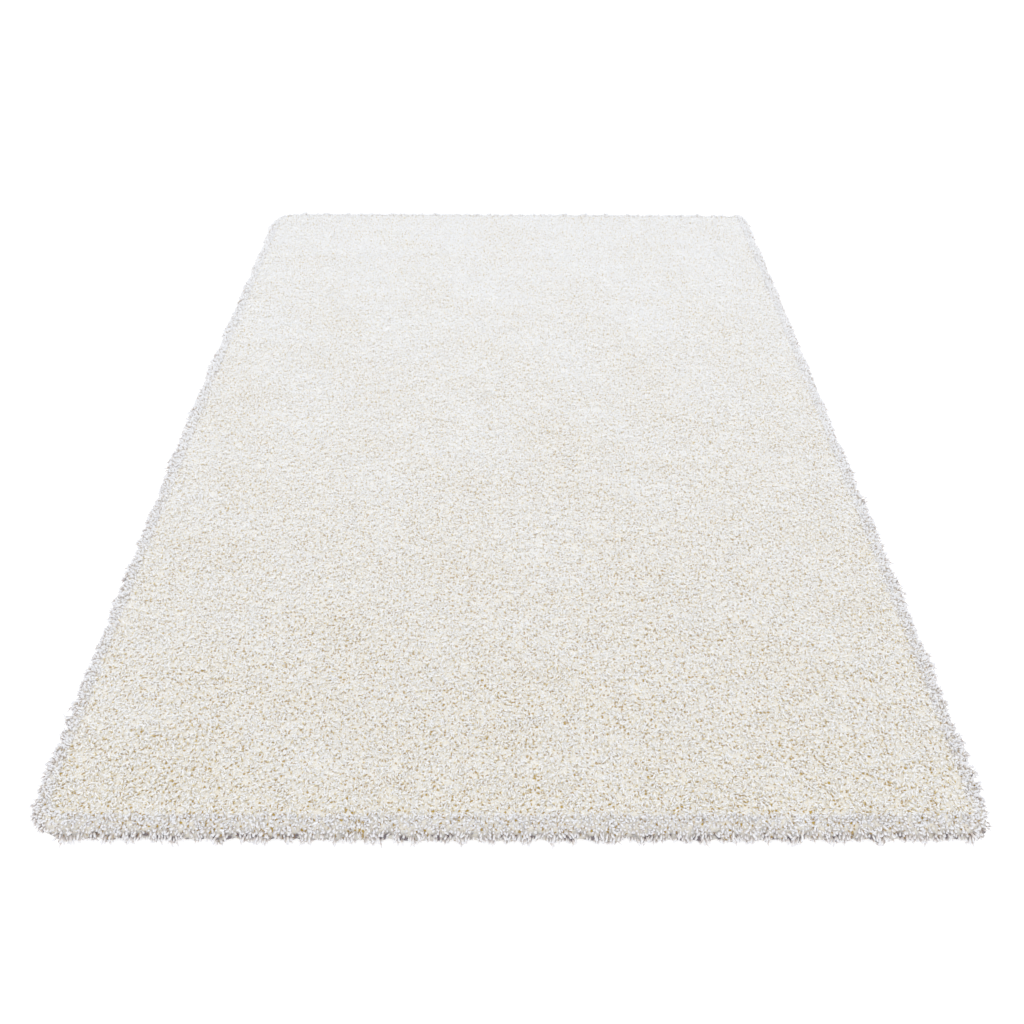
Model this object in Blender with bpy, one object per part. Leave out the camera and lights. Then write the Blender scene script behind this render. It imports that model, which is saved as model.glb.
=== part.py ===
"""Shag rug: one lumpy slab of pile on a flat ground, with yarn locks splayed out of its rim.

Metres, +Z up. X runs across the rug and Y along it. The origin is the middle of the flat
underside, which lies at z = 0.
"""
import math
import random
from collections import namedtuple

import bmesh
import bpy
from mathutils import Vector, noise
from mathutils.geometry import delaunay_2d_cdt

# The woven ground that the yarn stands on: its mean width and length, and how its edges lie.
GROUND_WIDTH = 1.600
GROUND_LENGTH = 2.300
SIDE_BOW = 0.007            # each long side's middle lies this far outside its ends
END_BOW = 0.003             # each short end's middle lies this far outside its corners
MEAN_OF_BOW = 2 / 3         # a parabola's mean height, as a share of its crown

Corner = namedtuple("Corner", "name x_side y_side radius")
CORNERS = (
    Corner("front_right", 1, -1, 0.008),
    Corner("back_right", 1, 1, 0.010),
    Corner("back_left", -1, 1, 0.045),
    Corner("front_left", -1, -1, 0.036),
)
CORNER_STEPS = 8            # straight pieces in each corner's arc, before it is shared out in locks

# The pile.
PILE_HEIGHT = 0.0400        # mean height of the yarn tips
LUMP_PITCH = 0.0445         # distance between neighbouring points of the lumpy top
LUMP_JITTER = 0.010         # how far such a point strays from its even place
LUMP_HEIGHT = 0.0044        # how far single lumps rise and dip
WAVE_HEIGHT = 0.0030        # how far the pile rises and dips in broad patches
WAVE_LENGTH = 0.170
RIM_CLEARANCE = 0.026       # the lumpy top's own points keep this far from its edge
INSIDE_ONLY = 1             # the triangle net stops at the rim
SAME_PLACE = 1e-6

# The wall under the rim of the pile, from the floor up: how far each level stands out from the
# ground's edge. The locks grow from the band between the two middle levels.
Level = namedtuple("Level", "name reach height")
FLOOR_LEVEL = Level("floor", 0.0000, 0.0000)
LOW_LEVEL = Level("below the locks", 0.0040, 0.0070)
HIGH_LEVEL = Level("above the locks", 0.0095, 0.0290)
SHOULDER_LEVEL = Level("shoulder of the pile", 0.0030, 0.0370)
LEVELS = (FLOOR_LEVEL, LOW_LEVEL, HIGH_LEVEL, SHOULDER_LEVEL)

# The locks around the rim. Each grows in two stretches, thinner and lower outward.
LOCK_PITCH = 0.0270
Stretch = namedtuple("Stretch", "reach droop keep_width keep_height sway")
LOCK_STRETCHES = (
    Stretch(0.0100, 0.0022, 0.62, 0.70, 0.0015),
    Stretch(0.0115, 0.0052, 0.46, 0.50, 0.0040),
)
LOCK_VARIATION = 0.24       # share by which one lock's reach and droop differ from the next one's
TIP_CLEARANCE = 0.0012      # no lock comes nearer to the floor than this

SEED = 41

YARN_COLOUR = (0.800, 0.755, 0.675, 1.0)
YARN_ROUGHNESS = 0.92
SOFT_SHADING_ANGLE = math.radians(65)


def clear_scene():
    for old in list(bpy.data.objects):
        bpy.data.objects.remove(old, do_unlink=True)


def yarn_material():
    material = bpy.data.materials.new("cream_yarn")
    material.use_nodes = True
    shader = material.node_tree.nodes["Principled BSDF"]
    shader.inputs["Base Color"].default_value = YARN_COLOUR
    shader.inputs["Roughness"].default_value = YARN_ROUGHNESS
    shader.inputs["Metallic"].default_value = 0.0
    return material


def corner_arc(corner):
    """Points and outward directions along one rounded corner, counter-clockwise."""
    centre = Vector((corner.x_side * (GROUND_WIDTH / 2 - corner.radius),
                     corner.y_side * (GROUND_LENGTH / 2 - corner.radius)))
    middle_turn = math.atan2(corner.y_side, corner.x_side)
    arc = []
    for step in range(CORNER_STEPS + 1):
        turn = middle_turn + math.radians(90) * (step / CORNER_STEPS - 0.5)
        outward = Vector((math.cos(turn), math.sin(turn)))
        arc.append((centre + outward * corner.radius, outward))
    return arc


def share_out(run, pitch):
    """Even points along a run of (point, outward) pairs; the run's last point is left out."""
    lengths = [(b[0] - a[0]).length for a, b in zip(run, run[1:])]
    count = round(sum(lengths) / pitch)
    shared = []
    for number in range(count):
        distance = sum(lengths) * number / count
        index = 0
        while distance > lengths[index]:
            distance -= lengths[index]
            index += 1
        share = distance / lengths[index]
        point = run[index][0].lerp(run[index + 1][0], share)
        outward = run[index][1].lerp(run[index + 1][1], share).normalized()
        shared.append((point, outward))
    return shared


def ground_outline():
    """The ground's edge, one (point, outward) pair for each side of a lock, counter-clockwise.

    Each run goes from the middle of one corner to the middle of the next, so that a lock starts
    at the very middle of every corner.
    """
    arcs = [corner_arc(corner) for corner in CORNERS]
    outline = []
    for arc, next_arc in zip(arcs, arcs[1:] + arcs[:1]):
        half = CORNER_STEPS // 2
        outline += share_out(arc[half:] + next_arc[:half + 1], LOCK_PITCH)
    return outline


def bowed(point):
    """The even rectangle's point, moved to where the slightly swollen sides put it."""
    x_share = point.x / (GROUND_WIDTH / 2)
    y_share = point.y / (GROUND_LENGTH / 2)
    side_swell = SIDE_BOW * (1 - y_share ** 2 - MEAN_OF_BOW)
    end_swell = END_BOW * (1 - x_share ** 2 - MEAN_OF_BOW)
    return Vector((point.x + side_swell * x_share, point.y + end_swell * y_share))


def add_wall(bm, outline):
    """Rings of points up the rim, joined by quads. Returns the rings and the band of lock roots."""
    rings = []
    for level in LEVELS:
        ring = []
        for point, outward in outline:
            place = bowed(point + outward * level.reach)
            ring.append(bm.verts.new((place.x, place.y, level.height)))
        rings.append(ring)
    lock_roots = []
    for lower_level, lower, upper in zip(LEVELS, rings, rings[1:]):
        for number, low_vert in enumerate(lower):
            after = (number + 1) % len(lower)
            face = bm.faces.new((low_vert, lower[after], upper[after], upper[number]))
            if lower_level is LOW_LEVEL:
                lock_roots.append(face)
    return rings, lock_roots


def top_height(x, y, draw):
    patch = noise.noise(Vector((x, y, 0.0)) / WAVE_LENGTH)
    return PILE_HEIGHT + WAVE_HEIGHT * patch + LUMP_HEIGHT * draw.uniform(-1, 1)


def inside_rim(place, rim):
    """True where the place lies inside the rim polygon and clear of its edge."""
    for here, there in zip(rim, rim[1:] + rim[:1]):
        along = (there - here).normalized()
        inward = Vector((-along.y, along.x))
        if (place - here).dot(inward) < RIM_CLEARANCE:
            return False
    return True


def lump_places(rim, draw):
    """Points of the lumpy top in staggered rows, each a little off its even place."""
    row_pitch = LUMP_PITCH * math.sqrt(3) / 2
    rows = math.ceil(GROUND_LENGTH / 2 / row_pitch)
    columns = math.ceil(GROUND_WIDTH / 2 / LUMP_PITCH) + 1
    places = []
    for row in range(-rows, rows + 1):
        for column in range(-columns, columns + 1):
            x = LUMP_PITCH * (column + 0.5 * (row % 2))
            stray = Vector((draw.uniform(-1, 1), draw.uniform(-1, 1))) * LUMP_JITTER
            place = Vector((x, row_pitch * row)) + stray
            if inside_rim(place, rim):
                places.append(place)
    return places


def add_lumpy_top(bm, rim_ring, draw):
    """The top of the pile: a net of triangles over staggered points at uneven heights."""
    rim = [Vector((vert.co.x, vert.co.y)) for vert in rim_ring]
    places = rim + lump_places(rim, draw)
    rim_edges = [(number, (number + 1) % len(rim)) for number in range(len(rim))]
    net = delaunay_2d_cdt(places, rim_edges, [], INSIDE_ONLY, SAME_PLACE)
    net_places, net_faces, source_places = net[0], net[2], net[3]
    verts = []
    for place, sources in zip(net_places, source_places):
        if sources[0] < len(rim):
            verts.append(rim_ring[sources[0]])
        else:
            verts.append(bm.verts.new((place.x, place.y, top_height(place.x, place.y, draw))))
    for corners in net_faces:
        bm.faces.new([verts[number] for number in corners])


def grow_locks(bm, roots, outline, draw):
    """Extrude every root face on its own, outward and down, into a lock that thins to its tip."""
    directions = []
    for number, (point, outward) in enumerate(outline):
        after = outline[(number + 1) % len(outline)][1]
        directions.append((outward + after).normalized())
    vigours = [1 + LOCK_VARIATION * draw.uniform(-1, 1) for root in roots]
    droops = [1 + LOCK_VARIATION * draw.uniform(-1, 1) for root in roots]
    leans = [draw.uniform(-1, 1) for root in roots]
    tips = roots
    for stretch in LOCK_STRETCHES:
        tips = bmesh.ops.extrude_discrete_faces(bm, faces=tips)["faces"]
        for tip, way, vigour, droop, lean in zip(tips, directions, vigours, droops, leans):
            outward = Vector((way.x, way.y, 0.0))
            sideways = Vector((-way.y, way.x, 0.0))
            centre = tip.calc_center_median()
            move = outward * stretch.reach * vigour + sideways * stretch.sway * lean
            move.z = -stretch.droop * droop
            for vert in tip.verts:
                offset = vert.co - centre
                across = sideways * offset.dot(sideways) * stretch.keep_width
                along = outward * offset.dot(outward)
                upward = Vector((0.0, 0.0, offset.z * stretch.keep_height))
                vert.co = centre + move + across + along + upward
                vert.co.z = max(vert.co.z, TIP_CLEARANCE)


def centre_on_origin(bm):
    """Slide the rug so that its outermost tips lie evenly about the origin."""
    xs = [vert.co.x for vert in bm.verts]
    ys = [vert.co.y for vert in bm.verts]
    middle = Vector((max(xs) + min(xs), max(ys) + min(ys), 0.0)) / 2
    bmesh.ops.translate(bm, verts=bm.verts, vec=-middle)


def make_shag_rug():
    draw = random.Random(SEED)
    bm = bmesh.new()
    outline = ground_outline()
    rings, lock_roots = add_wall(bm, outline)
    bm.faces.new(list(reversed(rings[0])))
    add_lumpy_top(bm, rings[-1], draw)
    grow_locks(bm, lock_roots, outline, draw)
    centre_on_origin(bm)
    bmesh.ops.triangulate(bm, faces=bm.faces)
    mesh = bpy.data.meshes.new("shag_rug")
    bm.to_mesh(mesh)
    bm.free()
    mesh.shade_smooth()
    mesh.set_sharp_from_angle(angle=SOFT_SHADING_ANGLE)
    mesh.materials.append(yarn_material())
    rug = bpy.data.objects.new("shag_rug", mesh)
    bpy.context.scene.collection.objects.link(rug)
    return rug


clear_scene()
make_shag_rug()
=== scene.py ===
"""The shag rug as it looks: every yarn end of its pile, the bed they stand in and the woven ground.

Metres, in the frame of the rug's solid: X across the rug, Y along it, the floor at z = 0.
"""
import math
from collections import namedtuple

import bmesh
import bpy
import numpy as np
from mathutils import Matrix, Vector


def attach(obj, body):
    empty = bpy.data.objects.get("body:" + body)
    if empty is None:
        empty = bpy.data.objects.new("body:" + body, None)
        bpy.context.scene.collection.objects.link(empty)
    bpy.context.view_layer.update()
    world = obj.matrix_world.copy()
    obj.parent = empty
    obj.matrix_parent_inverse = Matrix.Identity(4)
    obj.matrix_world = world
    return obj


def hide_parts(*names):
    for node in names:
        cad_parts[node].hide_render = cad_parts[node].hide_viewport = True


# The woven ground, as in the solid: mean size, how its edges bow, how its corners turn.
GROUND_WIDTH = 1.600
GROUND_LENGTH = 2.300
GROUND_THICKNESS = 0.0022
SIDE_BOW = 0.007
END_BOW = 0.003
MEAN_OF_BOW = 2 / 3
Corner = namedtuple("Corner", "name x_side y_side radius")
CORNERS = (
    Corner("front_right", 1, -1, 0.008),
    Corner("back_right", 1, 1, 0.010),
    Corner("back_left", -1, 1, 0.045),
    Corner("front_left", -1, -1, 0.036),
)
SHARPEST_TURN = 0.004       # no row of yarn turns a corner tighter than this

# The bed: the dense lower part of the pile, out of which the yarn ends stand. Its profile runs
# from the lumpy top, over the bulging rim and back in to the ground's edge at the floor.
# reach is the distance outside the ground's edge, and swell is how much of a lock's swelling the
# bed takes part in.
ProfilePoint = namedtuple("ProfilePoint", "reach height swell")
BED_PROFILE = (
    ProfilePoint(-0.0060, 0.0346, 0.0),
    ProfilePoint(0.0080, 0.0316, 0.4),
    ProfilePoint(0.0200, 0.0246, 1.0),
    ProfilePoint(0.0272, 0.0166, 1.0),
    ProfilePoint(0.0275, 0.0096, 1.0),
    ProfilePoint(0.0215, 0.0044, 0.8),
    ProfilePoint(0.0000, 0.0022, 0.0),
)
LOCK_WIDTH = 0.024          # the rim gathers in locks of about this width
LOCK_SWELL = 0.0030         # how far the rim swells out and draws in from lock to lock
LUMP_WIDTH = 0.060          # from one lump of the bed's top to the next
LUMP_HEIGHT = 0.0012        # how far the lumps rise and dip
LUMPS_OVER_EDGE = 0.0006    # their mean height lies this far over the top's edge
LUMP_FADE = 0.020           # they grow to their full height over this distance from that edge
BED_GRAIN = 0.0003          # how far single points of the bed stray, so that it looks made of yarn
FLAT_BELOW = 0.003          # points lower than this don't stray, so that the bed lies flat
BED_CELL = 0.0130           # of the grid over the bed's top

# The woven ground's grid, and its weave.
GROUND_COLUMNS = 28
GROUND_ROWS = 40
WEAVE_PITCH = 0.0064        # two threads, one over and one under
WEAVE_RELIEF = 0.0008
FIBRE_SCALE = 900.0         # fibres of its threads, in repeats to the metre

# The yarn. A level's share is of the end's length, and its width is of the end's radius.
YARN_MAP = "OFBake"         # the yarn's own map: tone and turn across it, root to tip along it
YARN_SIDES = 3
FIELD_RADIUS = 0.0016       # of a yarn end, to its corners
RIM_RADIUS = 0.0019
RADIUS_RANGE = (0.85, 1.15)  # the thinnest and the thickest end, as shares of that radius
TONES = 24                  # shades of yarn from pale to deep, one for each strip of the yarn's map
STRIP_MARGIN = 0.08         # share of a strip that is left free on either side
TIP_MARGIN = 0.02           # share of the map that is left free under the root and over the tip
Level = namedtuple("Level", "share width")
CURLED_LEVELS = (Level(0.38, 1.00), Level(1.00, 0.88))
SHORT_LEVELS = (Level(1.00, 1.00),)
ROOT_DEPTH = 0.0015         # yarn ends start this far under the bed's surface
FLOOR_CLEARANCE = 0.0008    # no yarn comes nearer to the floor than this

# How the ends of the field stand: how far they lean off the vertical, in degrees, and how long
# they are. Each spread is that of a normal draw, and the length's is a share of the length.
Stance = namedtuple("Stance", "lean lean_spread length length_spread")
CURLED_LOWER = Stance(30, 9, 0.0056, 0.14)
CURLED_UPPER = Stance(74, 17, 0.0090, 0.18)
SHORT_STANCE = Stance(64, 13, 0.0112, 0.14)

# The curled ends that lie over the field. Each bends once, at its knee.
CURLED_PITCH = 0.0128
CURLED_STRAY = 0.0052       # how far a root strays from its even place
CURLED_PIECES = 2
CURL_TURN = 0.9             # how far, in radians, the upper stretch turns away from the lower one
UPPER_LEAN_RANGE = (5, 96)  # degrees
DRIFT = 0.16                # how strongly neighbouring ends lean the same way
DRIFT_ACROSS = 0.28         # distance over which their drift across the rug changes
DRIFT_ALONG = 0.22          # and their drift along it

# The short ends that fill the field between them.
SHORT_PITCH = 0.0057
SHORT_STRAY = 0.0016
SHORT_PIECES = 4
SHORT_LEAN_RANGE = (0, 76)  # degrees

# The ends around the rim, in rows along the bed's profile. Spread, comb, lift and lean are set
# against the bed's own outward and downhill directions, each of length 1.
RIM_PITCH = 0.0046
RIM_ROW_PITCH = 0.0049
EDGE_STRAY = 0.4            # share of the pitch by which an end strays along the edge
LOWEST_ROW = 0.0062         # no row of ends starts lower than this, under the bulge of the rim
RIM_TURN_WIDTH = 0.026      # over this width, from the field outward, the ends turn into the rim's own
RIM_TOP_LENGTH = 0.0090     # length of the rim's ends where it meets the field
RIM_LENGTH = 0.0092         # and of those lower down
RIM_LENGTH_SPREAD = 0.14
KNEE_SPREAD = 0.32          # how far the ends stray up to their knee
TOP_SPREAD = 0.95           # how far their tips stray where the rim meets the field
RIM_SPREAD = 0.42           # and how far lower down
KNEE_COMB = 0.50            # how strongly the low ends turn downhill up to their knee
RIM_COMB = 1.45             # and from there to their tips
RIM_LIFT = 0.30             # how much of the outward direction is left in the tips of the low ends
LIFT_OVER_FLOOR = 0.8       # an end's middle stays this share of the radius over the floor
LOCK_LEAN = 0.30            # how far a lock leans along the edge
LOCK_LONGER = 0.46          # share by which a full lock's ends are longer than those between locks
LOCK_GAP = 0.75             # share of the low ends that is missing between two locks
GAP_GROWTH = 1.2            # how soon that share is reached where the rim draws in
LOWEST_SHORTER = 0.60       # share by which the lowest ends are shorter
LONG_END_SHARE = 0.020      # a few ends stand out of the rim
LONG_END_STRETCH = 1.45     # because they are this many times as long

# What changes with the height over the floor: it sets in at the start, and is full after the
# length, further down.
Fade = namedtuple("Fade", "start length")
LOW_ENDS = Fade(0.0310, 0.0130)         # the rim's ends are combed down, and gaps open between locks
LOWEST_ENDS = Fade(0.0150, 0.0080)      # they are shorter
RIM_HOLLOW_SHADE = Fade(0.0285, 0.0085)      # the bed is painted dark between them, as shade

# The yarn's tones, from 0, the palest, to 1, the deepest. They differ at random, and are deeper
# towards the front of the rug and down the rim as painted shade.
FRONT_TONE_AND_SHADE = 0.80           # mean tone of the field's ends at the front edge, deep with painted shade
BACK_TONE_AND_SHADE = 0.20            # and at the back edge
TONE_SPREAD = 0.22
RIM_FRONT_TONE_AND_SHADE = 0.44       # mean tone of the rim's highest ends at the front, and 0 at the back: painted shade
RIM_BACK_LESS_SHADE = 0.50       # how much less painted shade the lowest ends have at the back than at the front
PATCH_TONE = 0.14           # how much deeper or paler some patches of the field are
PATCH_LENGTH = 0.085        # from one patch to the next along the rug
PATCH_STRETCH = 4.0         # patches are this many times as wide as long

SEED = 1208
PATCH_SEED = 52             # of its own, so that all the field's yarn shares the same patches

SAME_PLACE = 1e-6
NO_LENGTH = 1e-9

# How the yarn's colour is laid on.
ROOT_SHADE_SHIFT = 0.28           # how much further the root's painted shade reaches up the deepest yarn
UNDERSIDE_SHADE_SHARE = 0.25          # how much of the underside's painted shade the palest tone has
TWISTS = 9.0                # turns of the ply from root to tip
TWIST_RELIEF = 0.0002

# The bed's pattern, in repeats to the metre.
BROAD_SCALE = 12.0          # broad patches, like the front or the back, with their painted shade
BROAD_DEPTH = 0.8           # how far they go towards either
BEND_SCALE = 190.0          # bends that keep the crowns from being round
CROWN_SCALE = 300.0         # crowns about as big as a yarn end
CROWN_SLOPE = 1.30
GAP_SHADE_SCALE = 155.0         # ochre specks of painted shade, deep in the pile's gaps
CREAM_SCALE = 85.0          # patches with more cream
HOLLOW_SHADE_SCALE = 70.0         # dark painted shade in hollows low on the rim
BEND_REACH = (0.006, 0.006, 0.006)  # how far the bends shift the crowns, in metres
CROWN_RELIEF = 0.0020

# The floor, a pale lit table, and plain soft light.
FLOOR_SIZE = 30
FLOOR_DROP = 0.0002         # the floor lies this far under the rug
FLOOR_GLOW = 0.55           # the table is lit, so that shadows on it stay faint
FLOOR_SPECKLE_SCALE = 40.0
WORLD_COLOUR = (0.935, 0.962, 1.0, 1.0)
WORLD_STRENGTH = 1.28
SOFTBOX_WIDTH = 3.0
SOFTBOX_DEPTH = 2.0
SOFTBOX_SPREAD = 60         # degrees
SOFTBOX_TILT = 14           # degrees
SOFTBOX_PLACE = (0.0, -0.5, 3.5)
SOFTBOX_COLOUR = (0.86, 0.94, 1.0)
SOFTBOX_ENERGY = 2.3
VIEW_GAMMA = 2.00

# The camera that took the picture, for a square frame.
CAMERA_PLACE = (-0.0074, -1.9895, 1.5024)
CAMERA_PITCH = 42.37        # degrees below the horizon
CAMERA_TURN = 0.380         # degrees towards +X
CAMERA_ROLL = 0.407         # degrees
CAMERA_LENS = 33.36
CAMERA_SENSOR = 36.0


# ---------------------------------------------------------------- shader maths

class Wire:
    """One socket of a material's nodes. Arithmetic on it adds Math nodes."""

    def __init__(self, recipe, socket):
        self.recipe = recipe
        self.socket = socket

    def math(self, operation, *values):
        return self.recipe.node("ShaderNodeMath", {"operation": operation},
                                dict(enumerate(values)))

    def __add__(self, other):
        return self.math("ADD", self, other)

    def __radd__(self, other):
        return self.math("ADD", other, self)

    def __sub__(self, other):
        return self.math("SUBTRACT", self, other)

    def __rsub__(self, other):
        return self.math("SUBTRACT", other, self)

    def __mul__(self, other):
        return self.math("MULTIPLY", self, other)

    def __rmul__(self, other):
        return self.math("MULTIPLY", other, self)

    def __truediv__(self, other):
        return self.math("DIVIDE", self, other)

    def floor(self):
        return self.math("FLOOR", self)

    def sine(self):
        return self.math("SINE", self)

    def clamped(self):
        return self.recipe.node("ShaderNodeClamp", {}, {"Value": self})

    def rising(self, above, slope):
        """0 up to that value, and over it a rise at that slope to 1."""
        return ((self - above) * slope).clamped()

    def falling(self, below, slope):
        """0 down to that value, and under it a rise at that slope to 1."""
        return ((below - self) * slope).clamped()

    def outlet(self, name):
        """Another outlet of the same node."""
        return Wire(self.recipe, self.socket.node.outputs[name])


class Recipe:
    """A material and its nodes, written as expressions."""

    def __init__(self, name, roughness, sheen=0.0):
        self.material = bpy.data.materials.new(name)
        self.material.use_nodes = True
        self.tree = self.material.node_tree
        self.shader = self.tree.nodes["Principled BSDF"]
        self.shader.inputs["Roughness"].default_value = roughness
        self.shader.inputs["Metallic"].default_value = 0.0
        self.shader.inputs["Sheen Weight"].default_value = sheen
        self.shader.inputs["Specular IOR Level"].default_value = 0.2

    def fill(self, socket, value):
        if isinstance(value, Wire):
            self.tree.links.new(value.socket, socket)
        else:
            socket.default_value = value

    def node(self, kind, settings, values, outlet=0):
        """A node of that kind: its settings, then its sockets' values or links. Gives one outlet."""
        node = self.tree.nodes.new(kind)
        for setting, value in settings.items():
            if setting == "stops":
                self.set_stops(node.color_ramp, value)
            else:
                setattr(node, setting, value)
        for key, value in values.items():
            self.fill(node.inputs[key], value)
        return Wire(self, node.outputs[outlet])

    def set_stops(self, ramp, stops):
        while len(ramp.elements) > len(stops):
            ramp.elements.remove(ramp.elements[-1])
        while len(ramp.elements) < len(stops):
            ramp.elements.new(1.0)
        for element, (place, colour) in zip(ramp.elements, stops):
            element.position = place
            element.color = colour

    def ramp(self, factor, stops):
        return self.node("ShaderNodeValToRGB", {"stops": stops}, {"Fac": factor}, "Color")

    def mix(self, factor, first, second, blend="MIX"):
        settings = {"data_type": "RGBA", "blend_type": blend, "clamp_factor": True}
        return self.node("ShaderNodeMix", settings, {0: factor, 6: first, 7: second}, 2)

    def place(self):
        return self.node("ShaderNodeTexCoord", {}, {}, "Object")

    def split(self, vector):
        """The three parts of a vector."""
        part = self.node("ShaderNodeSeparateXYZ", {}, {"Vector": vector}, "X")
        return part, part.outlet("Y"), part.outlet("Z")

    def noise(self, vector, scale, detail=2.0):
        values = {"Vector": vector, "Scale": scale, "Detail": detail}
        return self.node("ShaderNodeTexNoise", {}, values, "Fac")

    def cells(self, vector, scale, dimensions="3D"):
        """The distance from the nearest of many scattered points."""
        settings = {"feature": "F1", "voronoi_dimensions": dimensions}
        values = {"Vector": vector, "Scale": scale}
        return self.node("ShaderNodeTexVoronoi", settings, values, "Distance")

    def colour(self, wire):
        self.fill(self.shader.inputs["Base Color"], wire)

    def bump(self, height, distance, strength=1.0):
        values = {"Height": height, "Distance": distance, "Strength": strength}
        normal = self.node("ShaderNodeBump", {}, values, "Normal")
        self.fill(self.shader.inputs["Normal"], normal)


# ---------------------------------------------------------------- materials

def rgb(red, green, blue):
    return (red, green, blue, 1.0)


# A yarn's stops run from its root to its tip; the dark tan at the root is painted shade low in
# the pile. Its deep tint is mixed into the deeper tones, up to that share, and these tones are partly
# random and partly painted shade towards the rug's front and down the rim. Its tint for the
# underside darkens the underside as painted shade.
Yarn = namedtuple("Yarn", "name stops deep_tint deep_share under_tint")
PILE_YARN = Yarn(
    name="pile_yarn",
    stops=(
        # The dark tan near the root is painted shade low in the pile.
        (0.34, rgb(0.50, 0.30, 0.02)),
        (0.46, rgb(0.90, 0.815, 0.51)),
        (0.62, rgb(0.965, 0.958, 0.965)),
        (0.84, rgb(0.968, 0.970, 0.992)),
    ),
    # Mixed in towards the rug's front as painted shade, and in random deeper tones.
    deep_tint=rgb(0.88, 0.83, 0.72),
    deep_share=0.08,
    under_tint=rgb(0.958, 0.886, 0.75),
)
# A darker, lilac-grey copy of the pile yarn: painted shade on the rim's sides and lower face.
SHADED_RIM_YARN = Yarn(
    name="rim_yarn_shaded",
    stops=(
        # The dark brown near the root is painted shade low on the rim.
        (0.38, rgb(0.36, 0.22, 0.10)),
        (0.54, rgb(0.82, 0.74, 0.60)),
        (0.70, rgb(0.90, 0.893, 0.885)),
        (0.88, rgb(0.912, 0.915, 0.932)),
    ),
    # Lilac grey, mixed in down the rim and towards the front as painted shade.
    deep_tint=rgb(0.59, 0.57, 0.625),
    deep_share=0.45,
    under_tint=rgb(0.82, 0.79, 0.84),
)

# The bed's two shades, which change from the back of the rug to its front, where they are darker
# and warmer as painted shade.
Shade = namedtuple("Shade", "back front")
BED_PALE = Shade(back=rgb(0.89, 0.895, 0.905), front=rgb(0.76, 0.75, 0.73))
# The cream is painted shade in the partings between crowns, and a cream tone in random patches.
BED_CREAM_AND_SHADE = Shade(back=rgb(0.905, 0.895, 0.87), front=rgb(0.75, 0.65, 0.46))

# Dark ochre of painted shade, deep in the gaps between yarn ends.
OCHRE_GAP_SHADE = rgb(0.27, 0.138, 0.010)
# Near black: painted shade in the hollows low on the rim.
HOLLOW_SHADE = rgb(0.028, 0.016, 0.021)
# A thread where it dips under: the same yarn, darker as painted shade.
THREAD_UNDER_SHADED = rgb(0.50, 0.42, 0.32)
THREAD_OVER = rgb(0.78, 0.71, 0.60)
FLOOR_PALE = rgb(0.93, 0.93, 0.93)
FLOOR_PALER = rgb(0.95, 0.95, 0.95)
WHITE = rgb(1.0, 1.0, 1.0)


def yarn_material(yarn):
    """Plied yarn: its colour from root to tip, with painted shade at the root, low in the pile.

    Its deeper tones are tinted, partly as random tone and partly as painted shade towards the
    rug's front and down the rim, and its underside is darkened as painted shade.
    """
    recipe = Recipe(yarn.name, roughness=0.88, sheen=0.15)
    on_map = recipe.node("ShaderNodeUVMap", {"uv_map": YARN_MAP}, {}, "UV")
    across, along = recipe.split(on_map)[:2]
    strip = across * TONES
    tone_and_shade = strip.floor() / (TONES - 1)
    around = (strip - strip.floor() - STRIP_MARGIN) / (1 - 2 * STRIP_MARGIN)
    # Painted shade: 0 on the yarn's upper side, rising to 1 on its underside.
    underside_shade = 0.5 - (around * math.tau).sine() * 0.5
    height = (along + (0.5 - tone_and_shade) * ROOT_SHADE_SHIFT).clamped()
    colour = recipe.mix(tone_and_shade * yarn.deep_share, recipe.ramp(height, yarn.stops), yarn.deep_tint)
    # The underside is darkened by its tint as painted shade, more so in the deeper tones.
    underside_shade_share = underside_shade * (UNDERSIDE_SHADE_SHARE + tone_and_shade * (1 - UNDERSIDE_SHADE_SHARE))
    recipe.colour(recipe.mix(underside_shade_share, colour, yarn.under_tint, "MULTIPLY"))
    twist = ((along * TWISTS + strip) * math.tau).sine() * 0.5 + 0.5
    recipe.bump(twist, distance=TWIST_RELIEF, strength=0.4)
    return recipe.material


def bed_material():
    """The bed between the yarn ends: pale crowns, with painted shade in their partings and as ochre
    specks, and dark painted shade low on the rim.
    """
    recipe = Recipe("yarn_bed", roughness=0.92)
    place = recipe.place()
    along, height = recipe.split(place)[1:]
    nearness = bed_nearness(recipe, place, along)
    bent = bent_place(recipe, place)
    crown = (1 - recipe.cells(bent, CROWN_SCALE) * CROWN_SLOPE).clamped()
    # Painted shade fills the partings between the crowns; more_cream adds a cream tone in random
    # patches.
    parting_shade = crown.falling(below=0.60, slope=3.0)
    more_cream = recipe.noise(place, CREAM_SCALE).rising(above=0.50, slope=5.0)
    # Darker and warmer towards the front: painted shade.
    pale = recipe.mix(nearness, BED_PALE.back, BED_PALE.front)
    cream_and_shade = recipe.mix(nearness, BED_CREAM_AND_SHADE.back, BED_CREAM_AND_SHADE.front)
    colour = recipe.mix(parting_shade * 0.85 + more_cream * 0.15, pale, cream_and_shade)
    # Painted shade deep in the gaps, stronger towards the front.
    gap_shade_share = gap_shade_specks(recipe, bent) * (nearness * 0.75 + 0.30)
    colour = recipe.mix(gap_shade_share, colour, OCHRE_GAP_SHADE)
    # Painted shade: dark between the ends low on the rim, in uneven hollows.
    low = ((RIM_HOLLOW_SHADE.start - height) / RIM_HOLLOW_SHADE.length).clamped()
    hollow_shade = recipe.noise(place, HOLLOW_SHADE_SCALE).rising(above=0.44, slope=7.0)
    recipe.colour(recipe.mix(low * (hollow_shade * 0.53 + 0.45), colour, HOLLOW_SHADE))
    recipe.bump(crown, distance=CROWN_RELIEF, strength=0.8)
    return recipe.material


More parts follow.
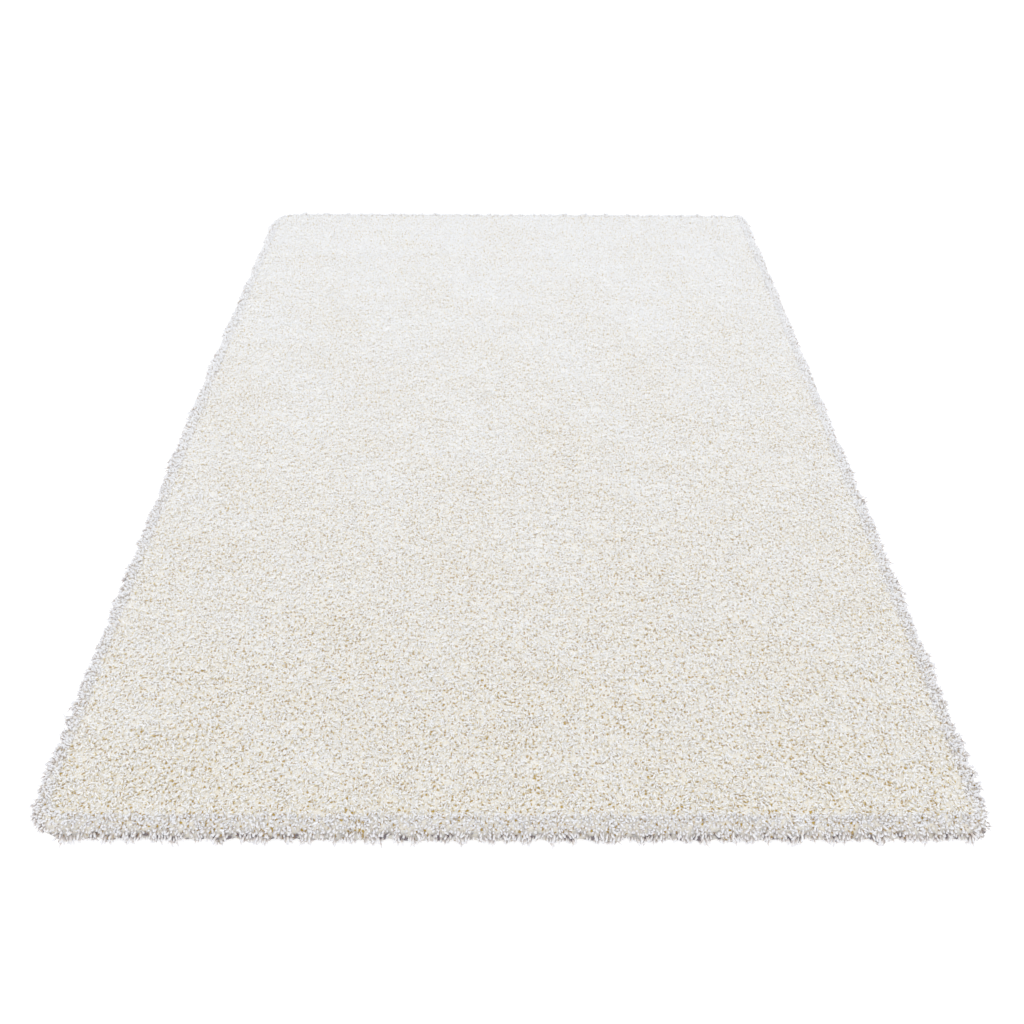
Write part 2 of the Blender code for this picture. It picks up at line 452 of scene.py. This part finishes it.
def bed_nearness(recipe, place, along):
    """How much the bed looks as at the rug's front: 1 there, 0 at the back, uneven in broad patches.

    The front's look is painted shade: darker and warmer, with stronger specks.
    """
    drawn_out = recipe.node("ShaderNodeVectorMath", {"operation": "MULTIPLY"},
                            {0: place, 1: (1 / PATCH_STRETCH, 1.0, 1.0)}, "Vector")
    patches = (recipe.noise(drawn_out, BROAD_SCALE) - 0.5) * BROAD_DEPTH
    return (0.5 - along / GROUND_LENGTH + patches).clamped()


def bent_place(recipe, place):
    """The place, shifted a little here and there, so that a pattern on it is uneven."""
    values = {"Vector": place, "Scale": BEND_SCALE, "Detail": 1.0}
    bends = recipe.node("ShaderNodeTexNoise", {}, values, "Color")
    return recipe.node("ShaderNodeVectorMath", {"operation": "MULTIPLY_ADD"},
                       {0: bends, 1: BEND_REACH, 2: place}, "Vector")


def gap_shade_specks(recipe, bent):
    """Specks of painted shade, of uneven size and strength, by a chance that each has for itself."""
    distance = recipe.cells(bent, GAP_SHADE_SCALE, "2D")
    chance = recipe.split(distance.outlet("Color"))[0]
    size = 0.15 + chance * 0.37
    return distance.falling(below=size, slope=8.0) * chance.rising(above=0.25, slope=2.2)


def weave_material():
    """The woven ground from below: plain weave of natural yarn, warp over weft, with painted shade
    where a thread dips under.
    """
    recipe = Recipe("woven_ground", roughness=0.85)
    place = recipe.place()
    across, along = recipe.split(place)[:2]
    threads = math.tau / WEAVE_PITCH
    warp = (across * threads).sine()
    weft = (along * threads).sine()
    over = warp * weft * 0.5 + 0.5
    fibre = recipe.noise(place, FIBRE_SCALE, detail=3.0)
    # Painted shade where a thread dips under, mixed with its fibres.
    recipe.colour(recipe.mix(over * 0.7 + fibre * 0.3, THREAD_UNDER_SHADED, THREAD_OVER))
    recipe.bump(over + fibre * 0.3, distance=WEAVE_RELIEF, strength=0.8)
    return recipe.material


def floor_material():
    """A pale table top that shines a little."""
    recipe = Recipe("pale_floor", roughness=0.9)
    speckle = recipe.noise(recipe.place(), FLOOR_SPECKLE_SCALE)
    recipe.colour(recipe.mix(speckle, FLOOR_PALE, FLOOR_PALER))
    recipe.shader.inputs["Emission Color"].default_value = WHITE
    recipe.shader.inputs["Emission Strength"].default_value = FLOOR_GLOW
    return recipe.material


# ---------------------------------------------------------------- outline

def corner_radius(x, y):
    """The radius of the corner in each point's quarter of the rug."""
    radius = np.zeros_like(x)
    for corner in CORNERS:
        here = (x * corner.x_side >= 0) & (y * corner.y_side >= 0)
        radius[here] = corner.radius
    return radius


def depth_inside(x, y):
    """How far each point of the even rectangle lies inside its rounded edge."""
    radius = corner_radius(x, y)
    beyond_x = np.abs(x) - (GROUND_WIDTH / 2 - radius)
    beyond_y = np.abs(y) - (GROUND_LENGTH / 2 - radius)
    outside = np.hypot(np.maximum(beyond_x, 0), np.maximum(beyond_y, 0))
    inside = np.minimum(np.maximum(beyond_x, beyond_y), 0)
    return radius - outside - inside


def bowed(x, y):
    """The even rectangle's points, moved to where the slightly swollen sides put them."""
    x_share = x / (GROUND_WIDTH / 2)
    y_share = y / (GROUND_LENGTH / 2)
    side_swell = SIDE_BOW * (1 - y_share ** 2 - MEAN_OF_BOW)
    end_swell = END_BOW * (1 - x_share ** 2 - MEAN_OF_BOW)
    return x + side_swell * x_share, y + end_swell * y_share


Turn = namedtuple("Turn", "centre radius middle")


def corner_turns(inset):
    """The four turns of the line that runs that far inside the edge."""
    half_width = GROUND_WIDTH / 2 - inset
    half_length = GROUND_LENGTH / 2 - inset
    turns = []
    for corner in CORNERS:
        radius = max(corner.radius - inset, SHARPEST_TURN)
        centre = np.array((corner.x_side * (half_width - radius),
                           corner.y_side * (half_length - radius)))
        turns.append(Turn(centre, radius, math.atan2(corner.y_side, corner.x_side)))
    return turns


def even_shares(count):
    """The middles of that many equal parts of 1."""
    return (np.arange(count) + 0.5) / count


def outline_row(inset, pitch, draw):
    """Points at about that pitch along the edge, that far inside it, with outward directions."""
    points = []
    outwards = []
    turns = corner_turns(inset)
    for turn, next_turn in zip(turns, turns[1:] + turns[:1]):
        count = max(2, round(turn.radius * math.pi / 2 / pitch))
        angles = turn.middle + math.pi / 2 * (even_shares(count) - 0.5)
        round_way = np.stack((np.cos(angles), np.sin(angles)), axis=1)
        points.append(turn.centre + round_way * turn.radius)
        outwards.append(round_way)
        out = turn.middle + math.pi / 4
        straight = np.array((math.cos(out), math.sin(out)))
        first = turn.centre + straight * turn.radius
        last = next_turn.centre + straight * next_turn.radius
        count = round(np.linalg.norm(last - first) / pitch)
        points.append(first + (last - first) * even_shares(count)[:, None])
        outwards.append(np.repeat(straight[None, :], count, axis=0))
    points = np.concatenate(points)
    outwards = np.concatenate(outwards)
    stray = draw.uniform(-EDGE_STRAY, EDGE_STRAY, (len(points), 1)) * pitch
    sideways = np.stack((-outwards[:, 1], outwards[:, 0]), axis=1)
    return points + sideways * stray, outwards


class Waves:
    """A smooth, uneven field over the rug, mostly from -1 to 1: a few random waves added up."""

    COUNT = 9

    def __init__(self, draw, wavelength):
        turns = draw.uniform(0, math.tau, self.COUNT)
        steps = math.tau / (wavelength * draw.uniform(0.7, 1.5, self.COUNT))
        self.ways = np.stack((np.cos(turns), np.sin(turns))) * steps
        self.starts = draw.uniform(0, math.tau, self.COUNT)

    def at(self, x, y):
        phase = x[:, None] * self.ways[0] + y[:, None] * self.ways[1] + self.starts
        return np.sin(phase).sum(axis=1) / math.sqrt(self.COUNT)


def unit(vectors):
    return vectors / np.linalg.norm(vectors, axis=-1, keepdims=True)


def outward_at(x, y):
    """The direction from each point straight out to the rug's nearest edge."""
    step = 0.0003
    slope_x = depth_inside(x + step, y) - depth_inside(x - step, y)
    slope_y = depth_inside(x, y + step) - depth_inside(x, y - step)
    return unit(-np.stack((slope_x, slope_y), axis=1))


def bed_height(x, y, lumps):
    """Height of the bed's lumpy top over the floor, the lumps fading out towards the rim."""
    edge = BED_PROFILE[0]
    fade = np.clip((depth_inside(x, y) + edge.reach) / LUMP_FADE, 0, 1)
    return edge.height + (LUMP_HEIGHT * lumps.at(x, y) + LUMPS_OVER_EDGE) * fade


# ---------------------------------------------------------------- modelling by hand

def nothing_selected():
    if bpy.context.object and bpy.context.object.mode != "OBJECT":
        bpy.ops.object.mode_set(mode="OBJECT")
    bpy.ops.object.select_all(action="DESELECT")


def select_top_faces(piece):
    """In edit mode: only the faces that look straight up are selected."""
    shape = bmesh.from_edit_mesh(piece.data)
    bpy.ops.mesh.select_all(action="DESELECT")
    for face in shape.faces:
        face.select = face.normal.z > 0.99
    shape.select_flush(True)
    bmesh.update_edit_mesh(piece.data)


def finish_piece(piece, name, material):
    """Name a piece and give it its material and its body."""
    piece.name = name
    piece.data.name = name
    piece.data.materials.clear()
    piece.data.materials.append(material)
    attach(piece, "root")
    return piece


YarnForm = namedtuple("YarnForm", "offsets level_numbers faces map_corners levels")


def model_yarn_end(levels):
    """One yarn end, modelled upright: a pointed root, then a ring at each level, and a blunt tip."""
    nothing_selected()
    first = levels[0]
    bpy.ops.mesh.primitive_cone_add(
        vertices=YARN_SIDES, radius1=0, radius2=first.width, depth=first.share,
        location=(0, 0, first.share / 2))
    end = bpy.context.object
    bpy.ops.object.transform_apply(location=True, rotation=False, scale=False)
    bpy.ops.object.mode_set(mode="EDIT")
    bpy.ops.mesh.select_mode(type="FACE")
    for below, level in zip(levels, levels[1:]):
        select_top_faces(end)
        bpy.ops.mesh.extrude_region_move(
            TRANSFORM_OT_translate={"value": (0, 0, level.share - below.share)})
        narrower = level.width / below.width
        bpy.ops.transform.resize(value=(narrower, narrower, 1))
    bpy.ops.mesh.select_all(action="SELECT")
    bpy.ops.mesh.quads_convert_to_tris()
    bpy.ops.mesh.normals_make_consistent(inside=False)
    bpy.ops.object.mode_set(mode="OBJECT")
    form = read_yarn_form(end.data, levels)
    bpy.data.objects.remove(end, do_unlink=True)
    return form


def read_yarn_form(mesh, levels):
    """The modelled end as arrays: offsets from its axis, the level of each point, faces and map."""
    points = np.array([vert.co[:] for vert in mesh.vertices])
    heights = np.array([0.0] + [level.share for level in levels])
    level_numbers = np.abs(points[:, 2:3] - heights).argmin(axis=1)
    faces = np.array([face.vertices[:] for face in mesh.polygons])
    map_corners = []
    for face in faces:
        around = np.arctan2(points[face, 1], points[face, 0]) / math.tau
        on_axis = np.hypot(points[face, 0], points[face, 1]) < SAME_PLACE
        first = around[~on_axis][0]
        around = first + (around - first + 0.5) % 1.0 - 0.5
        around[on_axis] = around[~on_axis].mean()
        reaches_all_round = around.max() - around.min() > 0.4
        if reaches_all_round:
            # The blunt tip takes a narrow part of the map, about its middle.
            around = 0.5 + points[face, 0] * 0.1
        along = points[face, 2]
        map_corners.append(np.stack((around - math.floor(around.mean()), along), axis=1))
    return YarnForm(points[:, :2], level_numbers, faces, np.array(map_corners), levels)


def joined_ends(name, form, centres, tangents, radii, tones):
    """One mesh of many yarn ends.

    centres and tangents hold a row for each end and, in it, a place for the root and each level.
    """
    reference = np.zeros_like(tangents)
    upright = np.abs(tangents[..., 2]) > 0.97
    reference[..., 0] = upright
    reference[..., 2] = 1.0 - reference[..., 0]
    side = unit(np.cross(reference, tangents))
    other = np.cross(tangents, side)
    numbers = form.level_numbers
    points = (centres[:, numbers]
              + side[:, numbers] * (form.offsets[:, 0] * radii[:, None])[..., None]
              + other[:, numbers] * (form.offsets[:, 1] * radii[:, None])[..., None])
    points[..., 2] = np.maximum(points[..., 2], FLOOR_CLEARANCE)
    count = len(centres)
    starts = (np.arange(count) * len(numbers))[:, None, None]
    corners = (form.faces[None] + starts).reshape(-1)
    mesh = yarn_mesh(name, points, corners, map_places(form, tones))
    piece = bpy.data.objects.new(name, mesh)
    bpy.context.scene.collection.objects.link(piece)
    return piece


def map_places(form, tones):
    """Where each face's corners lie on the yarn's map: in its tone's strip, from root to tip."""
    across_strip = STRIP_MARGIN + (1 - 2 * STRIP_MARGIN) * form.map_corners[None, ..., 0]
    around = (tones[:, None, None] + across_strip) / TONES
    along = np.repeat(form.map_corners[None, ..., 1], len(tones), axis=0)
    along = TIP_MARGIN + (1 - 2 * TIP_MARGIN) * along
    return np.stack((around, along), axis=-1)


def yarn_mesh(name, points, corners, mapped):
    """A mesh of triangles from its points, the numbers of its corners and their places on the map."""
    mesh = bpy.data.meshes.new(name)
    mesh.vertices.add(points.shape[0] * points.shape[1])
    mesh.vertices.foreach_set("co", points.reshape(-1).astype(np.float32))
    mesh.loops.add(len(corners))
    mesh.loops.foreach_set("vertex_index", corners.astype(np.int32))
    mesh.polygons.add(len(corners) // 3)
    mesh.polygons.foreach_set("loop_start", np.arange(0, len(corners), 3, dtype=np.int32))
    mesh.uv_layers.new(name=YARN_MAP)
    mesh.update(calc_edges=True)
    mesh.uv_layers[YARN_MAP].data.foreach_set("uv", mapped.reshape(-1).astype(np.float32))
    mesh.shade_smooth()
    return mesh


# ---------------------------------------------------------------- the pile

def directions(leans, turns):
    """Unit vectors, from their leans off the vertical, in degrees, and their turns, in radians."""
    leans = np.radians(leans)
    x = np.sin(leans) * np.cos(turns)
    y = np.sin(leans) * np.sin(turns)
    return np.stack((x, y, np.cos(leans)), axis=-1)


def drawn_lengths(stance, count, draw):
    return stance.length * draw.normal(1, stance.length_spread, count)


def path_of(roots, segments, lengths):
    """Centres and tangents at the root and each level, from straight stretches end to end."""
    centres = [roots]
    for way, length in zip(segments, lengths):
        centres.append(centres[-1] + way * length[:, None])
    tangents = [segments[0]]
    for before, after in zip(segments, segments[1:]):
        tangents.append(before + after)
    tangents.append(segments[-1])
    return np.stack(centres, axis=1), unit(np.stack(tangents, axis=1))


def field_places(pitch, stray, draw):
    """Staggered rows of roots over the rug, each a little off its even place."""
    row_pitch = pitch * math.sqrt(3) / 2
    row_count = math.ceil(GROUND_LENGTH / 2 / row_pitch)
    column_count = math.ceil(GROUND_WIDTH / 2 / pitch)
    columns, rows = np.meshgrid(np.arange(-column_count, column_count + 1),
                                np.arange(-row_count, row_count + 1))
    x = (pitch * (columns + 0.5 * (rows % 2))).ravel()
    y = (row_pitch * rows).ravel()
    x = x + draw.uniform(-stray, stray, len(x))
    y = y + draw.uniform(-stray, stray, len(y))
    inside = depth_inside(x, y) > -BED_PROFILE[0].reach
    return x[inside], y[inside]


def field_roots(x, y, lumps):
    """Where the ends start: a little under the bed's top at those places of the even rectangle."""
    root_x, root_y = bowed(x, y)
    return np.stack((root_x, root_y, bed_height(x, y, lumps) - ROOT_DEPTH), axis=1)


def tones_of(tone_and_shade, draw):
    """The map strip of each end, about its mean tone from 0 to 1, painted shade included."""
    strayed = tone_and_shade + draw.normal(0, TONE_SPREAD, len(tone_and_shade))
    return np.clip((strayed * TONES).astype(int), 0, TONES - 1)


def in_bands(name, count, form, centres, tangents, material, draw):
    """The field's ends as several pieces, from the front of the rug to its back."""
    radii = FIELD_RADIUS * draw.uniform(*RADIUS_RANGE, len(centres))
    x = centres[:, 0, 0]
    y = centres[:, 0, 1]
    from_front = y / GROUND_LENGTH + 0.5
    waves = Waves(np.random.default_rng(PATCH_SEED), PATCH_LENGTH)
    patches = waves.at(x / PATCH_STRETCH, y)
    # Deeper towards the front as painted shade, and deeper or paler in random patches.
    tone_and_shade = FRONT_TONE_AND_SHADE + (BACK_TONE_AND_SHADE - FRONT_TONE_AND_SHADE) * from_front
    tones = tones_of(tone_and_shade + PATCH_TONE * patches, draw)
    bands = np.clip((from_front * count).astype(int), 0, count - 1)
    pieces = []
    for band in range(count):
        here = bands == band
        piece = joined_ends(f"{name}_{band + 1}", form,
                            centres[here], tangents[here], radii[here], tones[here])
        pieces.append(finish_piece(piece, piece.name, material))
    return pieces


def make_curled_ends(material, lumps, draw):
    """The longer ends: upright from the bed, then curled over to lie in any direction."""
    x, y = field_places(CURLED_PITCH, CURLED_STRAY, draw)
    count = len(x)
    drift_across = Waves(draw, DRIFT_ACROSS).at(x, y)
    drift_along = Waves(draw, DRIFT_ALONG).at(x, y)
    drift = np.stack((drift_across, drift_along, np.zeros(count)), axis=1) * DRIFT
    lower_turns = draw.uniform(0, math.tau, count)
    upper_turns = lower_turns + draw.normal(0, CURL_TURN, count)
    lower_leans = np.abs(draw.normal(CURLED_LOWER.lean, CURLED_LOWER.lean_spread, count))
    upper_leans = draw.normal(CURLED_UPPER.lean, CURLED_UPPER.lean_spread, count)
    upper_leans = np.clip(upper_leans, *UPPER_LEAN_RANGE)
    lower = unit(directions(lower_leans, lower_turns) + drift)
    upper = unit(directions(upper_leans, upper_turns) + drift)
    lower_lengths = drawn_lengths(CURLED_LOWER, count, draw)
    upper_lengths = drawn_lengths(CURLED_UPPER, count, draw)
    roots = field_roots(x, y, lumps)
    centres, tangents = path_of(roots, (lower, upper), (lower_lengths, upper_lengths))
    form = model_yarn_end(CURLED_LEVELS)
    return in_bands("curled_yarn", CURLED_PIECES, form, centres, tangents, material, draw)


def make_short_ends(material, lumps, draw):
    """The short ends: straight, wider to their cut tip, between the curled ones."""
    x, y = field_places(SHORT_PITCH, SHORT_STRAY, draw)
    count = len(x)
    leans = draw.normal(SHORT_STANCE.lean, SHORT_STANCE.lean_spread, count)
    leans = np.clip(leans, *SHORT_LEAN_RANGE)
    ways = directions(leans, draw.uniform(0, math.tau, count))
    lengths = drawn_lengths(SHORT_STANCE, count, draw)
    centres, tangents = path_of(field_roots(x, y, lumps), (ways,), (lengths,))
    form = model_yarn_end(SHORT_LEVELS)
    return in_bands("short_yarn", SHORT_PIECES, form, centres, tangents, material, draw)


ProfileRow = namedtuple("ProfileRow", "reach height swell outward upward")


def profile_rows(pitch):
    """Even steps down the bed's profile, with the profile's own outward direction at each."""
    points = np.array(BED_PROFILE)
    steps = np.diff(points, axis=0)
    lengths = np.linalg.norm(steps[:, :2], axis=1)
    ends = np.concatenate(([0.0], np.cumsum(lengths)))
    rows = []
    for place in np.arange(pitch / 2, ends[-1], pitch):
        index = min(np.searchsorted(ends, place, side="right") - 1, len(steps) - 1)
        spot = points[index] + steps[index] * (place - ends[index]) / lengths[index]
        along = steps[index] / lengths[index]
        rows.append(ProfileRow(spot[0], spot[1], spot[2], -along[1], along[0]))
    return rows


def share_below(height, fade):
    """0 over the fade's start, and 1 from its length further down."""
    return np.clip((fade.start - height) / fade.length, 0, 1)


def rim_row_places(row, locks, draw):
    """Points, outward directions and fullness of one row of ends, thinned out between low locks.

    Fullness goes from 0, between two locks, to 1, in a full one.
    """
    points, outwards = outline_row(-row.reach, RIM_PITCH, draw)
    edge_points = points - outwards * row.reach
    points = points + outwards * lock_swell(edge_points, locks, row.swell)
    fullness = locks.at(edge_points[:, 0], edge_points[:, 1])
    gap = LOCK_GAP * share_below(row.height, LOW_ENDS)
    kept = draw.uniform(0, 1, len(points)) > np.clip(-GAP_GROWTH * fullness, 0, 1) * gap
    return points[kept], outwards[kept], np.clip(fullness[kept], 0, 1)


def rim_lengths(row, down_rim, fullness, draw):
    """Lengths of one row's ends: longer in a full lock, shorter near the floor, a few far longer."""
    count = len(fullness)
    mean = RIM_TOP_LENGTH + (RIM_LENGTH - RIM_TOP_LENGTH) * down_rim
    lengths = mean * draw.normal(1, RIM_LENGTH_SPREAD, count)
    lengths *= 1 - LOWEST_SHORTER * share_below(row.height, LOWEST_ENDS)
    lengths *= 1 + LOCK_LONGER * fullness
    lengths[draw.uniform(0, 1, count) < LONG_END_SHARE * down_rim] *= LONG_END_STRETCH
    return lengths


def rim_row(row, form, locks, lock_leans, draw):
    """Centres, tangents and tone of one row of ends, splayed out and combed downhill.

    The tone is deeper towards the front of the rug and down the rim, as painted shade.
    """
    points, outwards, fullness = rim_row_places(row, locks, draw)
    count = len(points)
    x, y = bowed(points[:, 0], points[:, 1])
    normals = np.column_stack((outwards * row.outward, np.full(count, row.upward)))
    downhill = np.column_stack((outwards * row.upward, np.full(count, -row.outward)))
    roots = np.column_stack((x, y, np.full(count, row.height))) - normals * ROOT_DEPTH
    low = share_below(row.height, LOW_ENDS)
    down_rim = np.clip((row.reach - BED_PROFILE[0].reach) / RIM_TURN_WIDTH, 0, 1)
    sideways = np.column_stack((-outwards[:, 1], outwards[:, 0], np.zeros(count)))
    lean = sideways * lock_leans.at(x, y)[:, None] * (LOCK_LEAN * down_rim)
    stray = draw.normal(0, KNEE_SPREAD, (count, 3))
    lower = unit(normals + downhill * (KNEE_COMB * low) + lean + stray)
    spread = TOP_SPREAD + (RIM_SPREAD - TOP_SPREAD) * down_rim
    lift = 1 - (1 - RIM_LIFT) * low
    stray = draw.normal(0, spread, (count, 3))
    upper = unit(normals * lift + downhill * (RIM_COMB * low) + lean + stray)
    lengths = rim_lengths(row, down_rim, fullness, draw)
    knee = form.levels[0].share
    centres, tangents = path_of(roots, (lower, upper), (lengths * knee, lengths * (1 - knee)))
    # Painted shade: the ends are deeper towards the front of the rug and down the rim.
    nearness = 0.5 - y / GROUND_LENGTH
    highest = RIM_FRONT_TONE_AND_SHADE * nearness
    lowest = 1 - RIM_BACK_LESS_SHADE * (1 - nearness)
    return centres, tangents, highest * (1 - low) + lowest * low


def make_rim(form, material, locks, draw):
    """The ends that cover the rim, splayed out of the bed and combed down towards the floor."""
    lock_leans = Waves(draw, LOCK_WIDTH)
    rows = []
    for row in profile_rows(RIM_ROW_PITCH):
        if row.height < LOWEST_ROW:
            break
        rows.append(rim_row(row, form, locks, lock_leans, draw))
    centres, tangents, tone_and_shade = (np.concatenate(parts) for parts in zip(*rows))
    centres[..., 2] = np.maximum(centres[..., 2], RIM_RADIUS * LIFT_OVER_FLOOR)
    radii = RIM_RADIUS * draw.uniform(*RADIUS_RANGE, len(centres))
    tones = tones_of(tone_and_shade, draw)
    piece = joined_ends("rim_yarn_shaded", form, centres, tangents, radii, tones)
    return finish_piece(piece, "rim_yarn_shaded", material)


def lock_swell(edge_points, locks, share):
    """How far the rim stands out or draws in beside each point of the ground's edge, in a column."""
    return (LOCK_SWELL * share * locks.at(edge_points[:, 0], edge_points[:, 1]))[:, None]


def make_bed(material, lumps, locks, draw):
    """The bed: a grid laid over the rug, its edge extruded down the profile, and closed flat below."""
    nothing_selected()
    top = BED_PROFILE[0]
    columns = round((GROUND_WIDTH + 2 * top.reach) / BED_CELL)
    rows = round((GROUND_LENGTH + 2 * top.reach) / BED_CELL)
    bpy.ops.mesh.primitive_grid_add(
        x_subdivisions=columns, y_subdivisions=rows, size=2, location=(0, 0, 0))
    bed = bpy.context.object
    grid_count = len(bed.data.vertices)
    bpy.ops.object.mode_set(mode="EDIT")
    bpy.ops.mesh.select_mode(type="EDGE")
    bpy.ops.mesh.select_non_manifold(extend=False)
    for step in BED_PROFILE[1:]:
        bpy.ops.mesh.extrude_edges_move(TRANSFORM_OT_translate={"value": (0, 0, -1)})
    bpy.ops.mesh.edge_face_add()
    bpy.ops.object.mode_set(mode="OBJECT")
    placed = bed_places(read_points(bed.data), grid_count, lumps, locks)
    stray = draw.normal(0, BED_GRAIN, placed.shape)
    stray[placed[:, 2] < FLAT_BELOW] = 0
    write_points(bed.data, placed + stray)
    make_outward(bed)
    bed.data.shade_smooth()
    finish_piece(bed, "pile_bed", material)
    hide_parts("shag_rug")
    return bed


def bed_places(points, grid_count, lumps, locks):
    """Where the bed's points belong: the grid's on the lumpy top, and the rest down the profile.

    The rest lie under the square's edge, and each step of the profile is a metre further down.
    """
    x, y = rounded_square(points[:grid_count, 0], points[:grid_count, 1], -BED_PROFILE[0].reach)
    edge = np.flatnonzero(np.abs(points[:grid_count, :2]).max(axis=1) > 1 - SAME_PLACE)
    outwards = outward_at(x[edge], y[edge])
    depths = depth_inside(x[edge], y[edge])[:, None]
    edge_points = np.stack((x[edge], y[edge]), axis=1) + outwards * depths
    swells = lock_swell(edge_points, locks, 1.0)
    top = np.column_stack((*bowed(x, y), bed_height(x, y, lumps)))
    placed = np.concatenate((top, np.zeros((len(points) - grid_count, 3))))
    edge_numbers = {tuple(np.round(points[number, :2], 5)): place
                    for place, number in enumerate(edge)}
    for number in range(grid_count, len(points)):
        level = BED_PROFILE[round(-points[number, 2])]
        place = edge_numbers[tuple(np.round(points[number, :2], 5))]
        spot = edge_points[place] + outwards[place] * (level.reach + level.swell * swells[place])
        spot_x, spot_y = bowed(spot[:1], spot[1:])
        placed[number] = (spot_x[0], spot_y[0], level.height)
    return placed


def read_points(mesh):
    points = np.empty(len(mesh.vertices) * 3, dtype=np.float32)
    mesh.vertices.foreach_get("co", points)
    return points.reshape(-1, 3).astype(float)


def write_points(mesh, points):
    mesh.vertices.foreach_set("co", points.reshape(-1).astype(np.float32))
    mesh.update()


def make_outward(piece):
    bpy.ops.object.mode_set(mode="EDIT")
    bpy.ops.mesh.select_all(action="SELECT")
    bpy.ops.mesh.normals_make_consistent(inside=False)
    bpy.ops.object.mode_set(mode="OBJECT")


def rounded_square(x, y, inset=0.0):
    """Points of the square from -1 to 1, drawn in to the rug's rounded outline or one inside it."""
    half_width = GROUND_WIDTH / 2 - inset
    half_length = GROUND_LENGTH / 2 - inset
    px = x * half_width
    py = y * half_length
    radius = np.maximum(corner_radius(px, py) - inset, SHARPEST_TURN)
    beyond_x = np.maximum(np.abs(px) - (half_width - radius), 0)
    beyond_y = np.maximum(np.abs(py) - (half_length - radius), 0)
    far = np.hypot(beyond_x, beyond_y)
    widest = np.maximum(beyond_x, beyond_y)
    draw_in = np.where(far > NO_LENGTH, widest / np.maximum(far, NO_LENGTH), 1.0)
    px = np.sign(px) * (np.abs(px) - beyond_x * (1 - draw_in))
    py = np.sign(py) * (np.abs(py) - beyond_y * (1 - draw_in))
    return px, py


def make_ground(material, pile_pieces):
    """The woven ground: a thin sheet with rounded corners under the pile."""
    nothing_selected()
    bpy.ops.mesh.primitive_grid_add(
        x_subdivisions=GROUND_COLUMNS, y_subdivisions=GROUND_ROWS, size=2, location=(0, 0, 0))
    ground = bpy.context.object
    for vert in ground.data.vertices:
        x, y = rounded_square(np.array([vert.co.x]), np.array([vert.co.y]))
        x, y = bowed(x, y)
        vert.co = (x[0], y[0], 0.0)
    thickness = ground.modifiers.new("thickness", "SOLIDIFY")
    thickness.thickness = GROUND_THICKNESS
    thickness.offset = 1.0
    bpy.ops.object.modifier_apply(modifier=thickness.name)
    finish_piece(ground, "woven_ground", material)
    return ground


# ---------------------------------------------------------------- stage, light and camera

def make_stage():
    """The floor that the rug lies on."""
    nothing_selected()
    bpy.ops.mesh.primitive_plane_add(size=FLOOR_SIZE, location=(0, 0, -FLOOR_DROP))
    floor = bpy.context.object
    floor.name = "floor"
    floor.data.materials.append(floor_material())


def make_light():
    """Light from all round, and a broad soft one from above."""
    world = bpy.data.worlds.new("studio")
    world.use_nodes = True
    background = world.node_tree.nodes["Background"]
    background.inputs["Color"].default_value = WORLD_COLOUR
    background.inputs["Strength"].default_value = WORLD_STRENGTH
    bpy.context.scene.world = world
    softbox = bpy.data.objects.new("grid_softbox", bpy.data.lights.new("grid_softbox", "AREA"))
    softbox.data.shape = "RECTANGLE"
    softbox.data.size = SOFTBOX_WIDTH
    softbox.data.size_y = SOFTBOX_DEPTH
    softbox.data.spread = math.radians(SOFTBOX_SPREAD)
    softbox.data.energy = SOFTBOX_ENERGY
    softbox.data.color = SOFTBOX_COLOUR
    softbox.location = SOFTBOX_PLACE
    softbox.rotation_euler = (math.radians(SOFTBOX_TILT), 0, 0)
    bpy.context.scene.collection.objects.link(softbox)
    view = bpy.context.scene.view_settings
    view.view_transform = "Standard"
    view.gamma = VIEW_GAMMA


def make_camera():
    """The camera that took the picture."""
    camera = bpy.data.objects.new("camera", bpy.data.cameras.new("camera"))
    pitch = math.radians(CAMERA_PITCH)
    turn = math.radians(CAMERA_TURN)
    ahead = Vector((math.sin(turn) * math.cos(pitch),
                    math.cos(turn) * math.cos(pitch),
                    -math.sin(pitch)))
    aim = ahead.to_track_quat("-Z", "Y").to_matrix().to_4x4()
    roll = Matrix.Rotation(math.radians(CAMERA_ROLL), 4, "Z")
    camera.matrix_world = Matrix.Translation(CAMERA_PLACE) @ aim @ roll
    camera.data.lens = CAMERA_LENS
    camera.data.sensor_width = CAMERA_SENSOR
    bpy.context.scene.collection.objects.link(camera)
    bpy.context.scene.camera = camera


# ---------------------------------------------------------------- the whole rug

def make_rug():
    draw = np.random.default_rng(SEED)
    lumps = Waves(draw, LUMP_WIDTH)
    locks = Waves(draw, LOCK_WIDTH)
    pile_yarn = yarn_material(PILE_YARN)
    rim_yarn_shaded = yarn_material(SHADED_RIM_YARN)
    bed = make_bed(bed_material(), lumps, locks, draw)
    rim = make_rim(model_yarn_end(CURLED_LEVELS), rim_yarn_shaded, locks, draw)
    curled = make_curled_ends(pile_yarn, lumps, draw)
    short = make_short_ends(pile_yarn, lumps, draw)
    make_ground(weave_material(), [bed, rim] + curled + short)


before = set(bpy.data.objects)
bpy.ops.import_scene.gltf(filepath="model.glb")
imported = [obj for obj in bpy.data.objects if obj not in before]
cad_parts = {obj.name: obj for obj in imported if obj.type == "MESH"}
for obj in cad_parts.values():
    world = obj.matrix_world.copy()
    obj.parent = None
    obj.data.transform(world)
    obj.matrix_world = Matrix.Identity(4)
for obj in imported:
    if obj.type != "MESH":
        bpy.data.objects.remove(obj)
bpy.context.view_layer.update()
make_camera()
make_rug()
make_stage()
make_light()
